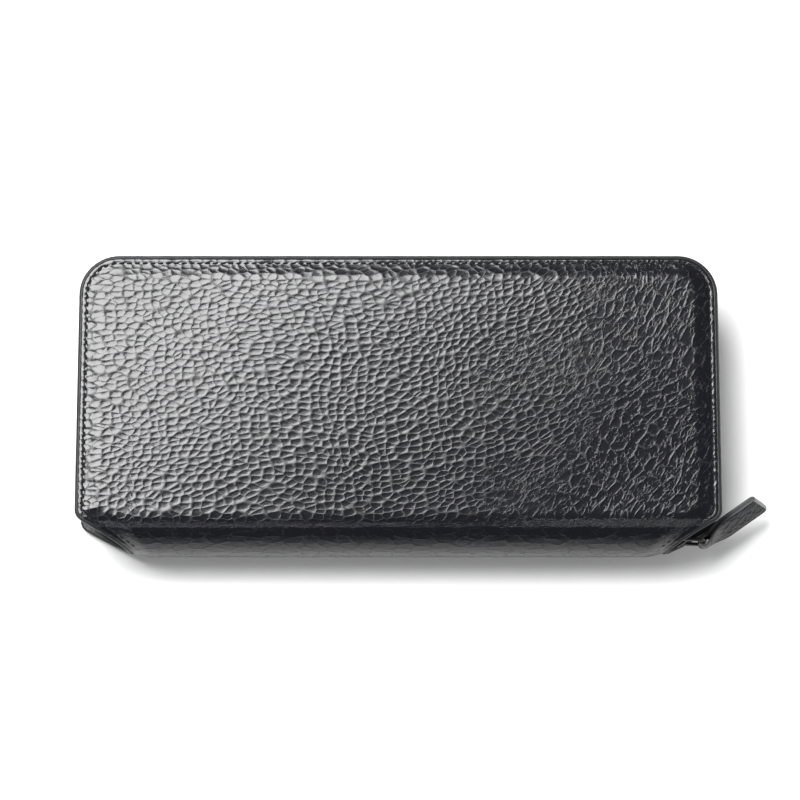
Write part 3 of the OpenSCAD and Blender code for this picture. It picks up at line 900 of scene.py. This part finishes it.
def coin_pouch(side):
    name = COVER_NAME[side]
    wall = pouch_sheet("coin_pouch_%s_leather" % name, side, 3.0, 0.45, 0.0, FINE_LEATHER, "lining_leather")
    stands_for(wall, "spine", "coin_pouch_" + name)
    bag = pouch_sheet("coin_bag_%s_cloth" % name, side, 2.5, 0.15, 0.4, POUCH_CLOTH, "pouch_cloth")
    stands_for(bag, "spine")
    if side > 0:
        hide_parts("coin_pouch_lining")


def coin_zip_tape(side):
    low, high = (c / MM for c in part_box("coin_zip_tape_" + COVER_NAME[side]))
    row_y = high.y - 0.2
    profile = [(low.y, 2.15), (row_y - 0.5, 2.15), (row_y - 0.2, 2.0), (row_y - 0.2, 1.0), (row_y, 0.85),
               (row_y + 0.2, 1.0), (row_y + 0.2, 1.9), (row_y - 0.1, 2.3), (low.y, 2.4)]

    def place(a, y, h):
        return np.stack([a, y, MID_Z + side * (h + 0.06 * np.sin(a / 4.0))], -1)

    points, faces = extrude_along_x(profile, np.linspace(low.x, high.x, 121), place)
    if side > 0:
        faces = [f[::-1] for f in faces]
    made = mesh_object("coin_zip_band_" + COVER_NAME[side], points, faces, ZIP_CLOTH, "zip_tape")
    along, y, z = np.moveaxis(points, -1, 0)
    put_vectors(made, "weave", np.stack([along, y + z, 0 * along], -1))
    stands_for(made, "spine", "coin_zip_tape_" + COVER_NAME[side])


def coin_zip_teeth():
    low, high = (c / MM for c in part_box("coin_zip_teeth"))
    points, faces = tooth(0.62)
    row_y = (low.y + high.y) / 2
    places = []
    for side in (1, -1):
        for x in np.arange(low.x + 0.6 + (1 if side > 0 else 0), high.x - 0.3, 2.0):
            turn = np.array([[1, 0, 0], [0, side, 0], [0, 0, -side]], float)
            places.append((turn, np.array([x, row_y, MID_Z + side * 1.5])))
    made = mesh_object("coin_zip_row", *repeat(points, faces, places), METAL, "gunmetal")
    stands_for(made, "spine", "coin_zip_teeth")


for side in (1, -1):
    zip_tape(side)
    for level in range(4):
        card_strip(side, level)
    for end in (1, -1):
        gusset(side, end)
    coin_pouch(side)
    coin_zip_tape(side)
coin_zip_teeth()
all_teeth()


# ---- Pull: ring and folded leather tab -----------------------------------------------------------
def closed_wire(path, radius, segments=14):
    """A round wire along a closed line of points."""
    path = np.array(path, float)
    ahead = np.roll(path, -1, 0) - np.roll(path, 1, 0)
    ahead /= np.linalg.norm(ahead, axis=1)[:, None]
    rows = []
    for point, along in zip(path, ahead):
        across = np.cross(along, (0, 1, 0))
        across /= np.linalg.norm(across)
        up = np.cross(across, along)
        rows.append([point + radius * (across * math.cos(w) + up * math.sin(w))
                     for w in np.arange(segments) * 2 * math.pi / segments])
    rows.append(rows[0])
    return np.array(rows), grid_faces(len(rows), segments, closed=True)


RING_LOW, RING_HIGH = (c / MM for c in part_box("pull_ring"))
WIRE_R = 0.55
PIVOT = np.array([RING_LOW.x + WIRE_R, (RING_LOW.y + RING_HIGH.y) / 2])
RING_LEN = RING_HIGH.x - RING_LOW.x - 2 * WIRE_R
RING_HALF_W = (RING_HIGH.z - RING_LOW.z) / 2 - WIRE_R
DROOP = math.radians(11)  # the ring hangs down a little, being slack on its bridge


def rounded_loop(a, b, r, steps=8):
    """A rectangle in x and z with rounded corners, as a closed line."""
    line = []
    for cx, cz, first in ((a - r, b - r, 0), (r, b - r, 90), (r, r - b, 180), (a - r, r - b, 270)):
        for i in range(steps + 1):
            w = math.radians(first + 90 * i / steps)
            line.append((cx + r * math.cos(w), cz + r * math.sin(w)))
    return line


def ring():
    path = [(PIVOT[0] + x * math.cos(DROOP), PIVOT[1], MID_Z + z - x * math.sin(DROOP))
            for x, z in rounded_loop(RING_LEN, RING_HALF_W, 1.5)]
    made = mesh_object("pull_ring_wire", *closed_wire(path, WIRE_R), METAL, "gunmetal")
    stands_for(made, "zip_pull", "pull_ring")


# The tab is a strip of leather folded round the ring's bar. Its two layers are pinched together beyond the
# ring, it twists on its way out, its corners are cut off at the end, and the end itself is cut aslant.
TAB_ANGLE = math.radians(35)
TAB_LEN = 23.4
TAB_HALF_W = 3.4
TAB_HOLE_R = 0.85
TAB_SKIN = 1.0
TAB_PINCH = 0.6
TAB_TWIST = math.radians(40)
TAB_POINT = 1.2
TIP_CUT = 3.6
TAB_ACROSS = np.linspace(-1, 1, 41)


def tab_spine():
    """The folded strip's middle line seen edge-on, from one cut end round the wire to the other.

    Gives its (along, off) points and the outward direction at each."""
    r = TAB_HOLE_R + TAB_SKIN / 2
    leg = [(a, r - TAB_PINCH * smooth(a / 4.5)) for a in np.linspace(TAB_LEN, 0, 46)]
    loop = [(-r * math.sin(w), r * math.cos(w)) for w in np.linspace(0, math.pi, 14)[1:-1]]
    spots = np.array(leg + loop + [(a, -off) for a, off in leg[::-1]])
    step = np.gradient(spots, axis=0)
    step /= np.linalg.norm(step, axis=1)[:, None]
    return spots, np.stack([step[:, 1], -step[:, 0]], 1)


def tab_turned(a, off, width):
    """Place of a tab point: it leaves the ring edge-on and twists until its broad face shows from above."""
    twist = TAB_TWIST * smooth((a + 1) / (0.42 * TAB_LEN))
    o = off * np.cos(twist) + width * np.sin(twist)
    z = width * np.cos(twist) - off * np.sin(twist)
    near_tip = np.clip((a - TAB_LEN + 5) / 5, 0, 1)
    along = a - TIP_CUT * near_tip * (z + TAB_HALF_W) / (2 * TAB_HALF_W)
    x = PIVOT[0] + RING_LEN * math.cos(DROOP) + along * math.cos(TAB_ANGLE) - o * math.sin(TAB_ANGLE)
    y = PIVOT[1] + along * math.sin(TAB_ANGLE) + o * math.cos(TAB_ANGLE)
    return np.stack([x, y, MID_Z - RING_LEN * math.sin(DROOP) + z], -1)


def tab_width(a):
    """Half width at a: a neck inside the ring, parallel sides, then a blunt end."""
    neck = 0.22 * (1 - smooth((a - 0.5) / 3.5))
    blunt = 0.14 * np.clip((a - TAB_LEN + TAB_POINT) / TAB_POINT, 0, 1)
    return TAB_HALF_W * (1 - neck - blunt)


def tab_leather(spots, outward):
    """The pebbled strip, thinned toward its edges."""
    run = np.concatenate([[0], np.cumsum(np.linalg.norm(np.diff(spots, axis=0), axis=1))])[:, None]
    wide = tab_width(spots[:, :1])
    thick = TAB_SKIN / 2 - 0.34 * np.clip((np.abs(TAB_ACROSS) - 0.84) / 0.16, 0, 1) ** 2
    skin = tab_turned(spots[:, :1] + outward[:, :1] * thick, spots[:, 1:] + outward[:, 1:] * thick,
                      TAB_ACROSS * (wide - 0.12))
    zero = 0 * skin[..., 0]
    grain = np.stack([run / 2.3 + zero, TAB_ACROSS * wide / 1.9, zero], -1)
    made = mesh_object("tab_pebbled_leather", skin, grid_faces(*zero.shape), PEBBLED, "outer_leather")
    put_vectors(made, "grain", grain)
    put_vectors(made, "grain_long", grain)
    put_values(made, "flow", zero)
    put_values(made, "relief", zero + 1)
    emboss(made, GRAIN_DEPTH)
    stands_for(made, "pull_tab", "tab_leather")


def tab_edges(spots, outward):
    """The strip's two painted edges, each a rounded bead."""
    profile = [(0.46, -0.12), (0.368, 0.02), (0.322, 0.1), (0.0, 0.05),
               (-0.322, 0.1), (-0.368, 0.02), (-0.46, -0.15)]
    beads = []
    for end in (-1, 1):
        rows = []
        for depth, bulge in profile:
            a, off = (spots + outward * depth).T
            rows.append(tab_turned(a, off, end * (tab_width(spots[:, 0]) + bulge)))
        beads.append((rows, grid_faces(len(profile), len(spots), flip=end < 0)))
    made = mesh_object("tab_painted_edge", *merge(beads), TAB_EDGE, "outer_leather")
    stands_for(made, "pull_tab")


def tab_cut_end(spots):
    """The end, where the strip's layers and the filler are cut through together; its light grey colour is a
    painted highlight.
    """
    thick = spots[0, 1] + TAB_SKIN / 2
    off = np.linspace(-thick, thick, 11)[:, None]
    reach = TAB_LEN + 0.25 * np.cos(off / thick * math.pi / 2)
    rows = tab_turned(reach, off * 0.96, TAB_ACROSS * (tab_width(TAB_LEN) + 0.02))
    faces = grid_faces(len(off), len(TAB_ACROSS), flip=True)
    made = mesh_object("tab_cut_end", rows, faces, TAB_END_HIGHLIGHT, "outer_leather")
    stands_for(made, "pull_tab")


def tab_filler():
    """The filler between the strip's two layers."""
    a = np.linspace(2.2, TAB_LEN - 0.1, 40)[:, None]
    core = np.array([tab_turned(a, off, TAB_ACROSS * (tab_width(a) - 0.2)) for off in (-0.35, 0.35)])
    rows, columns = len(a), len(TAB_ACROSS)
    block = merge([(core[0], grid_faces(rows, columns)),
                   (core[1], grid_faces(rows, columns, flip=True)),
                   (core[:, :, 0], grid_faces(2, rows)),
                   (core[:, :, -1], grid_faces(2, rows, flip=True))])
    made = mesh_object("tab_core", *block, TAB_EDGE, "outer_leather")
    stands_for(made, "pull_tab", "tab_filler")


def tab():
    spots, outward = tab_spine()
    tab_leather(spots, outward)
    tab_cut_end(spots)
    tab_edges(spots, outward)
    tab_filler()


ring()
tab()


# ---- Metal fittings keep their exact shape, with rounded edges -----------------------------------
def finish_metal(name, radius):
    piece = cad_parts[name]
    piece.data.materials.clear()
    piece.data.materials.append(METAL)
    weld = piece.modifiers.new("weld", "WELD")
    weld.merge_threshold = 0.001 * MM
    bevel = piece.modifiers.new("bevel", "BEVEL")
    bevel.width = radius * MM
    bevel.segments = 3
    bevel.limit_method = "ANGLE"
    bevel.harden_normals = True


EDGE_RADII = {"slider_body": 0.35, "slider_bridge": 0.25, "zip_end_stops": 0.2, "coin_slider_body": 0.2,
              "coin_slider_bridge": 0.15, "coin_pull": 0.25, "coin_zip_stops": 0.15}
for name, radius in EDGE_RADII.items():
    finish_metal(name, radius)


# ---- Stage, light and camera ---------------------------------------------------------------------
def stage():
    half = 1.3
    mesh = bpy.data.meshes.new("floor")
    corners = [(-half, -half, -0.0001), (half, -half, -0.0001), (half, half, -0.0001), (-half, half, -0.0001)]
    mesh.from_pydata(corners, [], [(0, 1, 2, 3)])
    floor = bpy.data.objects.new("floor", mesh)
    bpy.context.scene.collection.objects.link(floor)
    made, _, shader = new_material("floor_white", roughness=0.7)
    shader.inputs["Base Color"].default_value = (0.86, 0.86, 0.86, 1)
    mesh.materials.append(made)


def area_light(name, place, target, width, depth, power):
    data = bpy.data.lights.new(name, "AREA")
    data.shape = "RECTANGLE"
    data.size, data.size_y = width, depth
    data.energy = power
    light = bpy.data.objects.new(name, data)
    light.location = place
    light.rotation_mode = "QUATERNION"
    light.rotation_quaternion = (Vector(target) - Vector(place)).to_track_quat("-Z", "Y")
    bpy.context.scene.collection.objects.link(light)


def lights():
    area_light("softbox", (-0.42, 0.49, 1.1), (0, 0.1, 0), 0.95, 0.75, 37)
    area_light("side_fill", (1.1, 0.1, 0.44), (0, 0, 0), 1.0, 0.6, 5)
    for x, power in ((-1.0, 6.0), (0.9, 1.8)):
        area_light("front_fill", (x, -0.9, 0.65), (0, 0, 0), 0.4, 0.3, power)


def studio_walls():
    """A pale room at the height of the horizon that gets dark overhead."""
    world = bpy.data.worlds.new("studio")
    world.use_nodes = True
    tree = world.node_tree
    direction = add(tree, "ShaderNodeSeparateXYZ")
    tree.links.new(add(tree, "ShaderNodeTexCoord").outputs["Generated"], direction.inputs[0])
    strength = ramp_node(tree, direction.outputs["Z"], 0.1, 0.4, 0.75, 0.07)
    tree.links.new(strength, tree.nodes["Background"].inputs["Strength"])
    tree.nodes["Background"].inputs["Color"].default_value = (0.95, 0.97, 1.0, 1)
    bpy.context.scene.world = world


def camera():
    elevation = math.radians(77.5)
    distance = 1.0
    target = Vector((0.0005, 0.0029, 0.012))
    data = bpy.data.cameras.new("camera")
    data.sensor_width = 36
    data.lens = 143.2
    made = bpy.data.objects.new("camera", data)
    made.location = target + distance * Vector((0, -math.cos(elevation), math.sin(elevation)))
    made.rotation_mode = "QUATERNION"
    made.rotation_quaternion = (target - made.location).to_track_quat("-Z", "Y")
    bpy.context.scene.collection.objects.link(made)
    bpy.context.scene.camera = made


stage()
lights()
studio_walls()
camera()
bpy.context.scene.view_settings.view_transform = "Standard"
